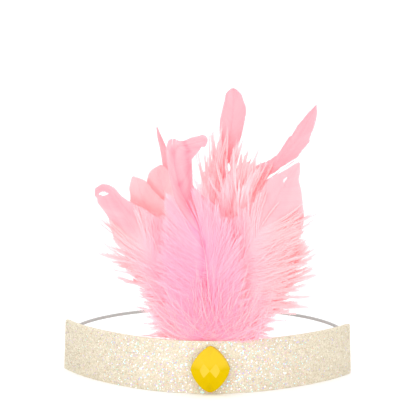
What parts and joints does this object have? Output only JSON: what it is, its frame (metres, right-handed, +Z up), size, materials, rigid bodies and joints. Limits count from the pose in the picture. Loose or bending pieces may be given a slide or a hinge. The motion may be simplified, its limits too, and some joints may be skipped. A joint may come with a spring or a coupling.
{
  "type": "carnival feather headdress",
  "caption": "Head band of glitter fabric with a faceted lozenge jewel, a plume of dyed feathers behind it and an elastic that closes the loop round the head.",
  "frame": {"origin": "middle of the band's lower edge at the front, in the middle of its wall", "axes": "+Z up, +X to the right as seen from the front, +Y back over the head"},
  "size_m": [0.172, 0.1704, 0.1715],
  "materials": {
    "glitter_fabric": "matte",
    "jewel_plastic": "gloss",
    "elastic": "satin",
    "felt": "matte",
    "feather": "matte"
  },
  "bodies": {
    "root": {"glitter_band": "glitter_fabric", "jewel": "jewel_plastic", "elastic_cord": "elastic", "quill_patch": "felt", "feather_folded": "feather", "feather_curl": "feather", "feather_broad": "feather", "feather_low_left": "feather", "feather_low_right": "feather", "feather_blunt": "feather", "feather_curved": "feather", "feather_round": "feather", "feather_mid": "feather", "feather_spike": "feather", "feather_tall": "feather", "feather_back": "feather"}
  },
  "joints": []
}
